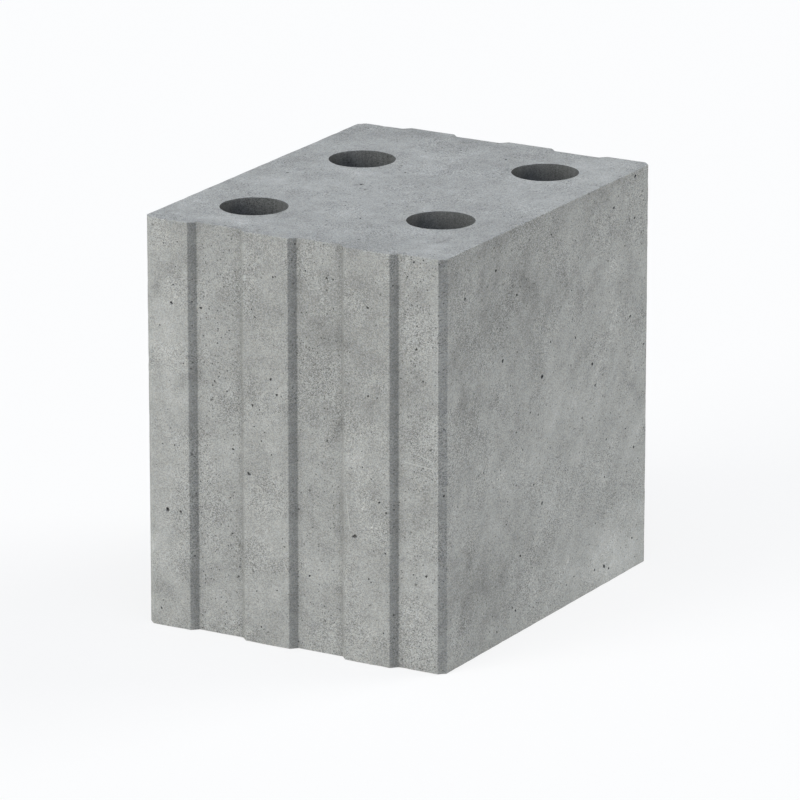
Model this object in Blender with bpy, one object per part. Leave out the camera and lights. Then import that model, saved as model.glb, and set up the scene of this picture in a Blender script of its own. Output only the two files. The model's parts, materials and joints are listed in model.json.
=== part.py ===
"""Acoustic masonry block: one dense concrete casting with tongue-and-groove heads and round vertical ducts.

The block stands as it is laid in a wall. Z is up, Y runs along the wall, and X goes through the wall's
thickness. The origin is the centre of the base. Sizes are in metres.

The plan outline is the same after half a turn about Z, so the tongues of one head fit the grooves of the
next block's head, and the blocks of a course interlock at the laying length.
"""

import math

import bmesh
import bpy

# Body
WALL_THICKNESS = 0.200
LAYING_LENGTH = 0.250
BLOCK_HEIGHT = 0.250

# Heads: a row of equal strips, in turn a tongue and a groove, joined by sloping flanks
TONGUES_PER_HEAD = 3
TONGUE_HEIGHT = 0.004
FLANK_RUN = 0.004
CORNER_CHAMFER = 0.004

# Ducts: two rows of round holes down the whole height, one row beside each plain side
DUCTS_PER_ROW = 2
DUCT_DIAMETER = 0.040
DUCT_TO_PLAIN_SIDE = 0.045
ROW_STAGGER = 0.028
DUCT_FACETS = 96
CUTTER_OVERRUN = 0.010

# Casting's bare surface
CONCRETE_COLOUR = (0.352, 0.358, 0.352, 1.0)
CONCRETE_ROUGHNESS = 0.88
CONCRETE_METALLIC = 0.0

# Sizes that follow from the ones above
HALF_THICKNESS = WALL_THICKNESS / 2
HALF_OVERALL_LENGTH = (LAYING_LENGTH + TONGUE_HEIGHT) / 2
STRIPS_PER_HEAD = 2 * TONGUES_PER_HEAD
STRIP_PITCH = (WALL_THICKNESS + FLANK_RUN) / STRIPS_PER_HEAD
# An even spacing that carries on across the joint, so that ducts also meet in a half-block bond
DUCT_PITCH = LAYING_LENGTH / DUCTS_PER_ROW
SMOOTH_BELOW = math.radians(30)


def clear_scene():
    """Remove every object that is already in the file."""
    for existing in list(bpy.data.objects):
        bpy.data.objects.remove(existing, do_unlink=True)


def concrete_material():
    """Bare cast concrete: matt, mid grey."""
    material = bpy.data.materials.new("cast_concrete")
    material.use_nodes = True
    shader = material.node_tree.nodes["Principled BSDF"]
    shader.inputs["Base Color"].default_value = CONCRETE_COLOUR
    shader.inputs["Roughness"].default_value = CONCRETE_ROUGHNESS
    shader.inputs["Metallic"].default_value = CONCRETE_METALLIC
    return material


def front_head():
    """Plan points of the -Y head, from its -X corner to its +X corner, before the corners are chamfered.

    Strip by strip across the wall: even strips are tongues, whose crests reach furthest out, and odd strips
    are grooves, which lie the tongue's height further in. The flank to the next strip takes the rest of the
    strip pitch.
    """
    points = []
    for strip in range(STRIPS_PER_HEAD):
        start = -HALF_THICKNESS + strip * STRIP_PITCH
        end = start + STRIP_PITCH - FLANK_RUN
        is_groove = strip % 2
        reach = -HALF_OVERALL_LENGTH + is_groove * TONGUE_HEIGHT
        points.append((start, reach))
        points.append((end, reach))
    return points


def block_outline():
    """Closed plan outline, counter-clockwise: the front head, then the same head after half a turn."""
    front = front_head()
    back = [(-x, -y) for x, y in front]
    return front + back


def add_mesh_object(name, shape):
    """Put a finished bmesh into a new mesh object in the scene."""
    mesh = bpy.data.meshes.new(name)
    shape.to_mesh(mesh)
    shape.free()
    made = bpy.data.objects.new(name, mesh)
    bpy.context.scene.collection.objects.link(made)
    return made


def chamfer_corners(shape):
    """Take the four upright outer corners off, at equal distances along both faces."""
    corners = []
    for edge in shape.edges:
        low, high = edge.verts
        upright = low.co.xy == high.co.xy
        on_plain_side = math.isclose(abs(low.co.x), HALF_THICKNESS, rel_tol=1e-6)
        if upright and on_plain_side:
            corners.append(edge)
    bmesh.ops.bevel(
        shape,
        geom=corners,
        offset=CORNER_CHAMFER,
        offset_type="OFFSET",
        segments=1,
        affect="EDGES",
    )


def make_body():
    """The block before its ducts: the plan outline raised to the block's height, with chamfered corners."""
    shape = bmesh.new()
    base = shape.faces.new([shape.verts.new((x, y, 0.0)) for x, y in block_outline()])
    raised = bmesh.ops.extrude_face_region(shape, geom=[base])["geom"]
    top_points = [item for item in raised if isinstance(item, bmesh.types.BMVert)]
    bmesh.ops.translate(shape, verts=top_points, vec=(0.0, 0.0, BLOCK_HEIGHT))
    chamfer_corners(shape)
    bmesh.ops.recalc_face_normals(shape, faces=shape.faces)
    body = add_mesh_object("masonry_block", shape)
    body.data.materials.append(concrete_material())
    return body


def duct_centres():
    """Plan centres of the ducts. The rows are staggered along the wall by equal and opposite shifts."""
    centres = []
    for side in (-1, 1):
        x = side * (HALF_THICKNESS - DUCT_TO_PLAIN_SIDE)
        row_middle = side * ROW_STAGGER / 2
        for place in range(DUCTS_PER_ROW):
            steps_from_middle = place - (DUCTS_PER_ROW - 1) / 2
            centres.append((x, row_middle + steps_from_middle * DUCT_PITCH))
    return centres


def make_duct_cutter(number, centre):
    """A hidden round bar that runs past both beds."""
    shape = bmesh.new()
    bmesh.ops.create_cone(
        shape,
        cap_ends=True,
        segments=DUCT_FACETS,
        radius1=DUCT_DIAMETER / 2,
        radius2=DUCT_DIAMETER / 2,
        depth=BLOCK_HEIGHT + 2 * CUTTER_OVERRUN,
    )
    cutter = add_mesh_object(f"duct_cutter_{number}", shape)
    cutter.location = (*centre, BLOCK_HEIGHT / 2)
    cutter.data.shade_smooth()
    cutter.data.set_sharp_from_angle(angle=SMOOTH_BELOW)
    cutter.hide_render = True
    cutter.display_type = "WIRE"
    return cutter


def cut_ducts(body):
    """Cut each duct with a Boolean of its own, and tie its cutter to the block."""
    for number, centre in enumerate(duct_centres(), start=1):
        cutter = make_duct_cutter(number, centre)
        cutter.parent = body
        cut = body.modifiers.new(f"duct_{number}", "BOOLEAN")
        cut.operation = "DIFFERENCE"
        cut.solver = "EXACT"
        cut.object = cutter


def main():
    clear_scene()
    body = make_body()
    cut_ducts(body)


main()
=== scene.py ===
# %% [markdown]
# # Acoustic masonry block
#
# This lesson dresses one dense concrete wall block. The real block is cast in a mould: two heads with
# tongues and grooves that interlock with the next block, two plain sides, and four round ducts from bed to
# bed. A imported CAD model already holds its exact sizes. The lesson keeps them and remakes the surface as
# the eye sees it, with softened edges, air pores, sandy grain and cloudy stains.

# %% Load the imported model
import json
import math

import bpy
import numpy as np
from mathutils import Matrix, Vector


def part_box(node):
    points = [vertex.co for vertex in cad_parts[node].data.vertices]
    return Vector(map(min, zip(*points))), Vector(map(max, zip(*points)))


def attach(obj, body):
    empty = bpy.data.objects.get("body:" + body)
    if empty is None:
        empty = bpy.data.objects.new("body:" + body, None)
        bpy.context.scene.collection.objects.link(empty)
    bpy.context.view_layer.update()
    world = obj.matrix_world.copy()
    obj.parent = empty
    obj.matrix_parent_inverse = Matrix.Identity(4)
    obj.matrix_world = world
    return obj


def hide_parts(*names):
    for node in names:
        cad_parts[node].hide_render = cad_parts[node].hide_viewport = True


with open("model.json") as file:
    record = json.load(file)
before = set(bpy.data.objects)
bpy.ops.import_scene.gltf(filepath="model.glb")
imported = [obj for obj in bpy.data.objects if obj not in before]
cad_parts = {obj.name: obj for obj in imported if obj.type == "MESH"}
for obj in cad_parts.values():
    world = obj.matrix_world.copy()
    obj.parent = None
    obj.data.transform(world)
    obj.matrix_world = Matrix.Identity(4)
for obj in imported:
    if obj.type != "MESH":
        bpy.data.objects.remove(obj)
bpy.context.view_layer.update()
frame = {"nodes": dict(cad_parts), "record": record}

MM = 0.001

# %% [markdown]
# ## Sizes
#
# Every size that the CAD model knows is read back from it, so that the two can't drift apart. The outer box
# comes from the node itself. The mounts on the middle tongue and groove give the pitch of the strips and
# the height of a tongue, and the openings give the middle of each duct. Only the chamfer is repeated.

# %% Read the sizes of the casting
BLOCK = "masonry_block"
STRIPS = 6
CORNER_CHAMFER = 4 * MM

block_low, block_high = (np.array(corner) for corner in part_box(BLOCK))
mount_at = {mount["name"]: np.array(mount["pos_m"]) for mount in frame["record"]["mounts"]}
openings = np.array([opening["box_m"] for opening in frame["record"]["physics"]["openings"]])

HEIGHT = block_high[2]
STRIP_PITCH, TONGUE_HEIGHT, _ = mount_at["front_groove"] - mount_at["front_tongue"]
FLANK_RUN = STRIPS * STRIP_PITCH - (block_high[0] - block_low[0])
DUCT_CENTRES = openings.mean(axis=1)[:, :2]

cad_points = np.array([vertex.co for vertex in frame["nodes"][BLOCK].data.vertices])
DUCT_RADIUS = np.linalg.norm(cad_points[:, :2] - DUCT_CENTRES[0], axis=1).min()

print(f"height {HEIGHT / MM:.1f} mm, strip pitch {STRIP_PITCH / MM:.1f}, tongue {TONGUE_HEIGHT / MM:.1f}")
print(f"flank run {FLANK_RUN / MM:.1f} mm, duct radius {DUCT_RADIUS / MM:.2f}")

# %% [markdown]
# ## Camera
#
# The photograph was taken from far off with a long lens, from a little above the block and 30 degrees round
# from its front head. The distance and the lens were solved from the block's corners. A camera that stands
# upright needs two turns only: it tips up from looking straight down, and then swings round the vertical.

# %% Place the camera
AZIMUTH = math.radians(30.159)
ELEVATION = math.radians(16.871)
CAMERA_DISTANCE = 4.1106
LENS = 310.27
AIM_SIDEWAYS = -0.53 * MM
AIM_UPWARDS = -5.10 * MM


def add_object(name, data):
    """A new object in the scene, which shows this data."""
    made = bpy.data.objects.new(name, data)
    bpy.context.scene.collection.objects.link(made)
    return made


back = Vector((
    math.sin(AZIMUTH) * math.cos(ELEVATION),
    -math.cos(AZIMUTH) * math.cos(ELEVATION),
    math.sin(ELEVATION),
))
right = Vector((math.cos(AZIMUTH), math.sin(AZIMUTH), 0.0))
aim = Vector((0.0, 0.0, HEIGHT / 2)) + right * AIM_SIDEWAYS + back.cross(right) * AIM_UPWARDS

camera = add_object("camera", bpy.data.cameras.new("camera"))
camera.data.lens = LENS
camera.data.sensor_width = 36.0
camera.data.clip_end = 100.0
camera.location = aim + back * CAMERA_DISTANCE
camera.rotation_euler = (math.pi / 2 - ELEVATION, 0.0, AZIMUTH)
bpy.context.scene.camera = camera
print("camera at", [round(value, 3) for value in camera.location])

# %% [markdown]
# ## Plan outline
#
# The mould is a prism, so one plan outline makes all the upright faces. A head is a row of equal strips, in
# turn a tongue and a groove. The first and last points of the row are each split in two, for the chamfers
# of the upright corners. The back head is the front one after half a turn, which is only a change of sign.

# %% Work out the plan corners
strip_start = block_low[0] + STRIP_PITCH * np.arange(STRIPS)
strip_end = strip_start + STRIP_PITCH - FLANK_RUN
strip_reach = block_low[1] + TONGUE_HEIGHT * (np.arange(STRIPS) % 2)

head = np.stack([np.stack([strip_start, strip_end], axis=1).ravel(), np.repeat(strip_reach, 2)], axis=1)
along_wall = np.array([0.0, CORNER_CHAMFER])
across_wall = np.array([CORNER_CHAMFER, 0.0])
front_head = np.concatenate([
    [head[0] + along_wall, head[0] + across_wall],
    head[1:-1],
    [head[-1] - across_wall, head[-1] + along_wall],
])
CORNERS = np.concatenate([front_head, -front_head])
HEAD_CORNERS = len(front_head)
print(len(CORNERS), "plan corners")

# %% [markdown]
# ## Softened edges
#
# Concrete never leaves a mould with a perfectly sharp edge, and the thin line of light along each edge is
# what tells the eye that it is solid. A Bevel modifier could make it, but here the outline is going to
# carry pores as well, so it is better to know where each point lies. Every corner is replaced by three
# points of an arc. The straight run to the next corner gets even steps, with a guard point close to each
# end: it keeps the smooth shading of the arc from spreading over the flat.

# %% Round the plan outline
UPRIGHT_RADIUS = 0.6 * MM
GUARD = 0.5 * MM
CELL = 4.4 * MM


def even_steps(length):
    """Distances along a straight run of this length: a guard from each end, and even steps between them."""
    inner = length - 2 * GUARD
    return GUARD + inner * np.linspace(0.0, 1.0, math.ceil(inner / CELL) + 1)


def rounded_outline(corners, radius):
    """Plan loop with rounded corners: its points, outward normals, and which of them a coarser ring keeps.

    Then come the number of each arc's middle point, and which corners are inner ones. An arc starts at the
    distance radius * tan(turn / 2) before its corner. Its centre lies one radius inside the outline at an
    outer corner, and one radius outside at an inner one, which the sign of the turn decides. The normal
    turns evenly along the arc, and each point is the centre plus or minus radius * normal.
    """
    leaving = np.roll(corners, -1, axis=0) - corners
    lengths = np.linalg.norm(leaving, axis=1)
    leaving = leaving / lengths[:, None]
    coming = np.roll(leaving, 1, axis=0)
    turn = np.arctan2(
        coming[:, 0] * leaving[:, 1] - coming[:, 1] * leaving[:, 0],
        (coming * leaving).sum(axis=1),
    )
    bulge = np.sign(turn)[:, None] * radius
    set_back = radius * np.tan(np.abs(turn) / 2)
    facing = np.stack([coming[:, 1], -coming[:, 0]], axis=1)
    centres = corners - set_back[:, None] * coming - bulge * facing

    angle = turn[:, None] * np.array([0.0, 0.5, 1.0])
    arc_normals = np.stack([
        facing[:, :1] * np.cos(angle) - facing[:, 1:] * np.sin(angle),
        facing[:, :1] * np.sin(angle) + facing[:, 1:] * np.cos(angle),
    ], axis=2)
    arcs = centres[:, None] + bulge[:, None] * arc_normals

    runs = lengths - set_back - np.roll(set_back, -1)
    points, normals, kept = [], [], []
    for arc, arc_normal, direction, run in zip(arcs, arc_normals, leaving, runs):
        steps = even_steps(run)
        points += [arc, arc[2] + steps[:, None] * direction]
        normals += [arc_normal, np.repeat(arc_normal[2:], len(steps), axis=0)]
        kept += [[False, True, False], [False], [True] * (len(steps) - 2), [False]]
    rolled = [np.roll(np.concatenate(part), -1, axis=0) for part in (points, normals, kept)]
    middles = np.cumsum([0] + [3 + len(even_steps(run)) for run in runs])
    return *rolled, middles, turn < 0


outline, outline_normals, outline_kept, arc_middles, is_inner = rounded_outline(CORNERS, UPRIGHT_RADIUS)
SIDE_ENDS = arc_middles[[0, HEAD_CORNERS - 1, HEAD_CORNERS, 2 * HEAD_CORNERS - 1, 2 * HEAD_CORNERS]]
print(len(outline), "points round the plan,", int(outline_kept.sum()), "kept by the coarser ring")

# %% [markdown]
# ## Gathering patches into one shell
#
# The block is one closed skin, but each face of it is easiest to make by itself. So every patch is handed
# to a collector, with a normal and a place in the flat pattern for each point. At the end the points that
# lie on each other are welded. The flat pattern, or UV map, is laid out in real sizes, so no face is
# stretched.

# %% Collect patches
class Shell:
    """Patches of one skin, kept as arrays until they are welded."""

    def __init__(self):
        self.count, self.patches, self.faces = 0, [], []

    def add(self, points, normals, flat, faces, pit=0.0, duct_shade=0.0):
        """Add points with normals, flat places and marks, and faces that count from the patch's own zero."""
        total = len(points)
        normals = np.broadcast_to(normals, (total, 3))
        marks = [np.broadcast_to(mark, total) for mark in (pit, duct_shade)]
        self.patches.append((points, normals, flat, *marks))
        self.faces += [face + self.count for face in faces]
        self.count += total


def grid_quads(columns, rows):
    """Corner numbers of every cell of a grid of columns by rows points, anticlockwise."""
    index = np.arange(columns * rows).reshape(columns, rows)
    return np.stack([index[:-1, :-1], index[1:, :-1], index[1:, 1:], index[:-1, 1:]], axis=-1)


shell = Shell()

# %% [markdown]
# ## Air pores
#
# Air is trapped against the mould and leaves small round pits. A displacement map could fake them, but a
# real hollow gives a real shadow and stays in an exported mesh. Pores are stamped into cells of a patch:
# the quad is taken out, and rings of points lead from its four corners to the rim and down the wall of the
# pit. Each ring has as many points as the one outside it, or twice as many. A few slow waves bend the rim
# out of round. In the profiles below, a ring is its number of points, its share of the radius and its share
# of the depth.

# %% Join two rings
def bridge(outer, outer_count, inner, inner_count):
    """Faces between two closed rings, each given by its first number and its count.

    Equal counts give a quad a side. Twice as many points inside give three triangles a side.
    """
    here = np.arange(outer_count)
    ahead = (here + 1) % outer_count
    if outer_count == inner_count:
        return [np.stack([outer + here, outer + ahead, inner + ahead, inner + here], axis=1)]
    first, middle, last = 2 * here, 2 * here + 1, (2 * here + 2) % inner_count
    return [
        np.stack([outer + here, outer + ahead, inner + middle], axis=1),
        np.stack([outer + here, inner + middle, inner + first], axis=1),
        np.stack([outer + ahead, inner + last, inner + middle], axis=1),
    ]


# %% Stamp pores into cells
RING_START = -0.75 * math.pi
SMALL_PORE = ((8, 1.45, 0.0), (8, 1.0, 0.0), (8, 0.66, 0.75))
LARGE_PORE = ((8, 1.35, 0.0), (16, 1.0, 0.0), (16, 0.84, 0.5), (16, 0.5, 0.9))
RIM_WAVES = ((2, 1.0), (3, 0.6), (5, 0.4))


def stamp_pores(cells, flats, axes, sense, pores, profile, random):
    """Points, flat places, depth marks and faces of pits that replace these cells.

    A ring point lies at middle + reach * (cos(angle) * across + sin(angle) * upward) - depth * outward, where
    reach is the radius times the ring's share of it, times 1 plus three slow waves of the angle. sense is -1
    on the underside, where the flat pattern and the order of the corners are turned over.
    """
    across, upward, outward = (axis[:, None] for axis in axes)
    count = len(cells)
    shift = pores["shift"][:, None]
    middle = cells.mean(axis=1)[:, None] + shift[..., :1] * across + shift[..., 1:] * upward
    flat_middle = flats.mean(axis=1)[:, None] + shift * (sense, 1)
    radius, depth, uneven = (pores[name][:, None] for name in ("radius", "depth", "uneven"))
    wave = random.uniform(0.0, 2 * math.pi, (len(RIM_WAVES), count, 1))

    points, flat, pit, faces = [cells], [flats], [np.zeros((count, 4))], []
    outer, outer_count = 0, 4
    for size, share, sunk in profile:
        angle = RING_START + 2 * math.pi * np.arange(size) / size
        bend = sum(height * np.cos(turns * angle + phase) for (turns, height), phase in zip(RIM_WAVES, wave))
        reach = radius * share * (1 + uneven * bend * (share <= 1))
        local = np.stack([reach * np.cos(angle), reach * np.sin(angle)], axis=2)
        sink = (depth * sunk)[..., None] * outward
        points.append(middle + local[..., :1] * across + local[..., 1:] * upward - sink)
        flat.append(flat_middle + local * (sense, 1))
        pit.append(np.full((count, size), sunk))
        inner = outer + outer_count
        faces += bridge(outer, outer_count, inner, size)
        outer, outer_count = inner, size

    bottom = outer + outer_count
    points.append(middle - depth[..., None] * outward)
    flat.append(flat_middle)
    pit.append(np.ones((count, 1)))
    rim = outer + np.arange(outer_count)
    faces.append(np.stack([rim, np.roll(rim, -1), np.full(outer_count, bottom)], axis=1))

    first_of_pore = (bottom + 1) * np.arange(count)[:, None, None]
    return (
        np.concatenate(points, axis=1).reshape(-1, 3),
        np.concatenate(flat, axis=1).reshape(-1, 2),
        np.concatenate(pit, axis=1).ravel(),
        [(face + first_of_pore).reshape(-1, face.shape[1])[:, ::sense] for face in faces],
    )


# %% [markdown]
# A pore is placed where the photograph shows one that draws the eye, and by chance elsewhere. The
# chance ones are many and small, with a few larger, which is what a lognormal radius gives. The seed is
# fixed, so the block is the same each time. A pore keeps clear of the sides of its cell, and the cells in
# turn keep clear of every edge of the block.

# %% Choose the pores of a patch
SMALLEST_PORE, USUAL_PORE, LARGEST_PORE = 0.26 * MM, 0.40 * MM, 1.35 * MM
RADIUS_SPREAD = 0.42
DEPTH_SHARES = (0.55, 1.1)
UNEVENNESS = (0.10, 0.24)
ROOM_AROUND = 1.5


def side_length(cells, first, second):
    """Length of one side of each cell, from corner first to corner second."""
    return np.linalg.norm(cells[:, second] - cells[:, first], axis=1)


def choose_pores(cells, axes, notable, count, random):
    """Cell number, radius, depth, shift from the cell's middle and unevenness of the pores of one patch.

    A notable pore takes the cell whose middle is nearest to it. The shift is limited to half the cell's side
    less the room that the pore needs round it.
    """
    middles = cells.mean(axis=1)
    room = 0.5 * np.stack([
        np.minimum(side_length(cells, 0, 1), side_length(cells, 3, 2)),
        np.minimum(side_length(cells, 0, 3), side_length(cells, 1, 2)),
    ], axis=1)
    places = np.array([place for place, *_ in notable], float).reshape(-1, 3) * MM
    named = np.linalg.norm(places[:, None] - middles, axis=2).argmin(axis=1)
    free = np.setdiff1d(np.arange(len(cells)), named)
    chosen = np.concatenate([named, random.choice(free, count, replace=False)])
    total = len(chosen)

    radius = np.exp(random.normal(math.log(USUAL_PORE), RADIUS_SPREAD, total))
    deepness = random.uniform(*DEPTH_SHARES, total)
    uneven = random.uniform(*UNEVENNESS, total)
    shift = random.uniform(-1.0, 1.0, (total, 2)) * room[chosen]
    if notable:
        by_hand = np.array([sizes for _, *sizes in notable], float)
        radius[:len(named)], deepness[:len(named)] = by_hand.T * [[MM], [1.0]]
        wanted = places - middles[named]
        shift[:len(named), 0] = (wanted * axes[0][named]).sum(axis=1)
        shift[:len(named), 1] = (wanted * axes[1][named]).sum(axis=1)
    widest = np.minimum(LARGEST_PORE, room[chosen].min(axis=1) / ROOM_AROUND)
    radius = np.clip(radius, SMALLEST_PORE, widest)
    limit = room[chosen] - ROOM_AROUND * radius[:, None]
    return {
        "cell": chosen,
        "radius": radius,
        "depth": radius * deepness,
        "shift": np.clip(shift, -limit, limit),
        "uneven": uneven,
    }


# %% Stamp the pores of a patch
LARGE_FROM = 0.62 * MM


def add_pores(cells, flats, axes, sense, notable, count, random):
    """Stamp pores into some of these cells, hand them to the shell and return the numbers of those cells."""
    pores = choose_pores(cells, axes, notable, count, random)
    is_large = pores["radius"] >= LARGE_FROM
    for profile, wanted in ((SMALL_PORE, ~is_large), (LARGE_PORE, is_large)):
        part = {name: values[wanted] for name, values in pores.items()}
        cell = part["cell"]
        part_axes = [axis[cell] for axis in axes]
        points, flat, pit, faces = stamp_pores(
            cells[cell], flats[cell], part_axes, sense, part, profile, random)
        shell.add(points, np.repeat(part_axes[2], len(points) // len(cell), axis=0), flat, faces, pit=pit)
    return pores["cell"]


# %% [markdown]
# ## Where the photograph shows pores
#
# The photograph shows the front head, the right side and the top, and their most visible pores are
# listed. Each is a place on its face in millimetres, then its radius in millimetres and its depth as a
# share of the radius. The place is x and z on the front head, y and z on the right side, and x and y on the
# top. On the head, x tells which strip it lies on, and so how far out it is. The other faces get chance
# pores only.

# %% List the notable pores
FRONT_PORES = [
    (-86.7, 72.2, 1.35, 0.8), (-81.1, 200.7, 0.95, 1.0), (-79.3, 211.1, 0.60, 1.0), (-91.0, 10.3, 0.75, 0.9),
    (-73.2, 164.2, 0.50, 1.0), (-51.8, 188.0, 0.55, 1.0), (-44.8, 187.6, 0.50, 1.0),
    (-42.0, 115.4, 0.75, 1.0), (-44.5, 85.3, 0.55, 1.0), (-45.8, 55.6, 0.55, 1.0), (-38.7, 37.6, 0.65, 1.1),
    (-48.3, 6.5, 0.50, 1.0), (-24.1, 199.4, 0.60, 1.1), (-14.9, 163.3, 0.85, 0.9), (-13.4, 117.5, 0.55, 1.0),
    (-27.3, 103.5, 1.10, 0.8), (-6.7, 67.3, 0.45, 1.1), (-5.1, 61.9, 0.50, 1.0), (-26.1, 44.1, 0.45, 1.0),
    (-10.4, 34.9, 0.55, 1.1), (-21.0, 10.3, 0.60, 1.1), (7.4, 231.7, 0.60, 1.2), (22.7, 228.3, 0.70, 1.1),
    (23.0, 131.5, 0.70, 0.6), (10.2, 46.1, 0.70, 1.2), (52.2, 216.1, 0.90, 0.8), (53.6, 113.9, 0.50, 1.0),
    (59.3, 100.4, 0.70, 1.0), (42.0, 76.2, 1.30, 0.6), (63.2, 69.7, 0.60, 1.2), (52.5, 52.7, 0.55, 1.1),
    (61.5, 20.7, 0.60, 1.1), (75.0, 237.0, 0.60, 1.0), (82.5, 194.5, 0.85, 0.9), (95.0, 209.6, 0.50, 1.0),
]
RIGHT_PORES = [
    (-98.7, 221.3, 0.90, 1.0), (-76.2, 110.3, 0.65, 1.1), (-49.2, 191.5, 0.60, 1.0),
    (-44.1, 155.2, 0.60, 1.0), (-38.9, 209.1, 1.00, 0.8), (-37.9, 124.9, 0.65, 0.9), (-37.6, 14.6, 0.75, 0.9),
    (-32.2, 48.7, 0.90, 0.8), (-21.2, 131.8, 0.65, 1.0), (-16.3, 87.2, 0.65, 1.0), (-7.4, 149.0, 1.35, 1.0),
    (-5.7, 72.8, 0.95, 1.0), (3.5, 170.1, 0.70, 0.9), (24.5, 13.4, 0.60, 1.0), (28.5, 194.9, 0.60, 0.9),
    (34.7, 164.6, 0.80, 1.0), (43.5, 112.5, 0.65, 0.9), (54.6, 144.4, 1.10, 1.0), (58.5, 128.8, 0.75, 1.1),
    (70.3, 10.6, 1.25, 1.1), (59.8, 12.5, 0.75, 0.9), (71.2, 68.0, 0.65, 1.0), (73.9, 201.3, 0.60, 0.9),
    (96.3, 91.8, 0.65, 0.9), (100.8, 160.9, 0.95, 0.7), (107.6, 77.0, 0.90, 1.0), (106.9, 19.0, 0.75, 0.9),
    (105.9, 220.8, 0.75, 0.8),
]
TOP_PORES = [
    (-18.5, -12.2, 1.05, 1.0), (-27.1, -2.8, 1.20, 0.4), (-16.7, 34.1, 0.85, 1.0), (-33.3, 55.8, 0.50, 1.0),
    (-10.7, -48.4, 0.70, 1.0), (-30.4, 81.9, 0.65, 1.0), (19.3, 89.7, 0.85, 0.8), (-14.6, 95.6, 0.80, 0.8),
    (-78.9, -1.2, 1.00, 0.4), (-25.9, 43.0, 0.60, 0.8), (35.0, -108.0, 0.95, 0.7),
]


def strip_depth(x):
    """How far out the front head's strip at this place lies, in millimetres."""
    return strip_reach[int((x * MM - block_low[0]) // STRIP_PITCH)] / MM


right_x, top_z = block_high[0] / MM, HEIGHT / MM
NOTABLE = {
    "front": [((x, strip_depth(x), z), radius, depth) for x, z, radius, depth in FRONT_PORES],
    "right": [((right_x, y, z), radius, depth) for y, z, radius, depth in RIGHT_PORES],
    "top": [((x, y, top_z), radius, depth) for x, y, radius, depth in TOP_PORES],
}
CHANCE_PORES = {"front": 150, "back": 150, "right": 60, "left": 80, "top": 40, "bottom": 70}
notable_count = sum(len(pores) for pores in NOTABLE.values())
print(notable_count, "notable pores,", sum(CHANCE_PORES.values()), "by chance")

# %% [markdown]
# ## Upright faces
#
# A wall is the plan outline carried up through a list of levels. Each level has a height and an inset,
# which is nought on the flat and follows a quarter circle at either bed, so the softened edge of the bed is
# part of the same surface: P(i, j) = outline(i) - inset(j) * normal(i), at height(j). The outline is cut in
# four at the plain sides' ends, which gives a front, a right, a back and a left patch.

# %% Carry the outline up the wall
BED_RADIUS = 0.32 * MM
QUARTER_STEPS = np.radians([0.0, 22.5, 45.0, 67.5, 90.0])
WIDE_ENOUGH = 0.6 * CELL


def wall_levels(height):
    """Height, inset, normal's tilt and distance travelled at each level of a wall, from bed to bed."""
    rise = BED_RADIUS * (1 - np.cos(QUARTER_STEPS))
    inset = BED_RADIUS * (1 - np.sin(QUARTER_STEPS))
    tilt = -np.cos(QUARTER_STEPS)
    rows = BED_RADIUS + even_steps(height - 2 * BED_RADIUS)
    level = np.concatenate([rise, rows, height - rise[::-1]])
    inset = np.concatenate([inset, 0 * rows, inset[::-1]])
    tilt = np.concatenate([tilt, 0 * rows, -tilt[::-1]])
    travelled = np.cumsum(np.hypot(np.diff(level, prepend=0.0), np.diff(inset, prepend=BED_RADIUS)))
    return level, inset, tilt, travelled


LEVEL, INSET, TILT, TRAVELLED = wall_levels(HEIGHT)


def add_wall(loop, loop_normals, flat_place, notable, count, random, duct_shade=0.0):
    """Hand a wall over this stretch of outline to the shell, with pores in some of its larger cells."""
    columns, rows = len(loop), len(LEVEL)
    distance = np.cumsum(np.linalg.norm(np.diff(loop, axis=0, prepend=loop[:1]), axis=1))
    plan = loop[:, None] - INSET[:, None] * loop_normals[:, None]
    points = np.dstack([plan, np.broadcast_to(LEVEL, (columns, rows))]).reshape(-1, 3)
    level_part = np.sqrt(1 - TILT**2)[:, None] * loop_normals[:, None]
    normals = np.dstack([level_part, np.broadcast_to(TILT, (columns, rows))]).reshape(-1, 3)
    flat = np.dstack(np.meshgrid(distance, TRAVELLED, indexing="ij")).reshape(-1, 2) + flat_place

    quads = grid_quads(columns, rows)
    is_large = (np.diff(distance) > WIDE_ENOUGH)[:, None] & (np.diff(LEVEL) > WIDE_ENOUGH)
    plain = np.ones(is_large.shape, bool)
    if count:
        large = quads[is_large]
        upward = np.broadcast_to([0.0, 0.0, 1.0], (len(large), 3))
        outward = normals[large[:, 0]]
        axes = (np.cross(upward, outward), upward, outward)
        taken = add_pores(points[large], flat[large], axes, 1, notable, count, random)
        plain[tuple(np.argwhere(is_large)[taken].T)] = False
    shell.add(points, normals, flat, [quads[plain]], duct_shade=duct_shade)


# %% [markdown]
# The flat pattern is laid out like a cutting plan: the two heads and the right side in the first row, the
# left side and both beds in the second, and the four ducts in the third, with a small gap between pieces.

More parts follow.
